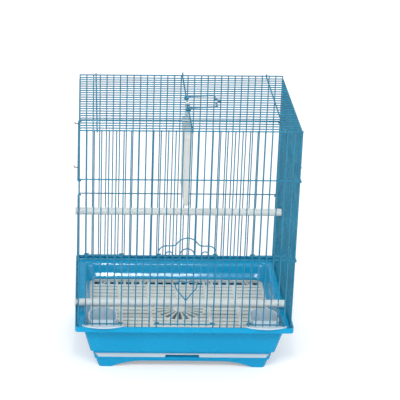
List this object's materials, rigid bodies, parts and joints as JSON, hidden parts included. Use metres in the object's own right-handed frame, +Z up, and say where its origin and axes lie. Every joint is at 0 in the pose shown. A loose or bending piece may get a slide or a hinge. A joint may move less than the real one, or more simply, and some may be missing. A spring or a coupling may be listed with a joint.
{
  "type": "bird travel carrier",
  "caption": "Flat-topped blue wire bird cage on a plastic base, with lifting doors, feeder cups, perches, swing, folding carry handle and slide-out waste drawer.",
  "frame": {"origin": "on the floor under the middle of the object's outer box", "axes": "+Z up, -Y towards the doors and the waste drawer's front, +X to the right as seen from the front"},
  "size_m": [0.3476, 0.2808, 0.4165],
  "materials": {
    "wire": "glossy blue coating on steel wire",
    "hook_wire": "bare bent wire",
    "base": "moulded, semi-gloss",
    "white_plastic": "moulded, semi-gloss"
  },
  "bodies": {
    "carrier": {"base_tub": "base", "floor_grate": "white_plastic", "front_panel": "wire", "back_panel": "wire", "left_panel": "wire", "right_panel": "wire", "roof_panel": "wire", "middle_roof_wire": "wire", "left_side_hooks": "hook_wire", "right_side_hooks": "hook_wire", "left_cup": "white_plastic", "right_cup": "white_plastic", "upper_perch": "white_plastic", "lower_perch": "white_plastic"},
    "drawer": {"waste_drawer": "white_plastic"},
    "main_door": {"main_door": "wire"},
    "left_door": {"left_feeder_door": "wire"},
    "right_door": {"right_feeder_door": "wire"},
    "swing": {"swing_frame": "white_plastic", "swing_perch": "white_plastic"},
    "handle": {"carry_handle": "wire"}
  },
  "joints": [
    {"name": "drawer_slide", "type": "slide", "parent": "carrier", "child": "drawer", "axis": [0, -1, 0], "range_m": [0, 0.19]},
    {"name": "main_door_lift", "type": "slide", "parent": "carrier", "child": "main_door", "axis": [0, 0, 1], "range_m": [0, 0.107]},
    {"name": "left_feeder_door_lift", "type": "slide", "parent": "carrier", "child": "left_door", "axis": [0, 0, 1], "range_m": [0, 0.107]},
    {"name": "right_feeder_door_lift", "type": "slide", "parent": "carrier", "child": "right_door", "axis": [0, 0, 1], "range_m": [0, 0.107]},
    {"name": "swing_hinge", "type": "hinge", "parent": "carrier", "child": "swing", "pos_m": [0.0023, -0.0035, 0.4082], "axis": [0, 1, 0], "range_deg": [-25, 25]},
    {"name": "carry_handle_hinge", "type": "hinge", "parent": "carrier", "child": "handle", "pos_m": [0.0023, 0.002, 0.4082], "axis": [0, -1, 0], "range_deg": [0, 167]}
  ]
}
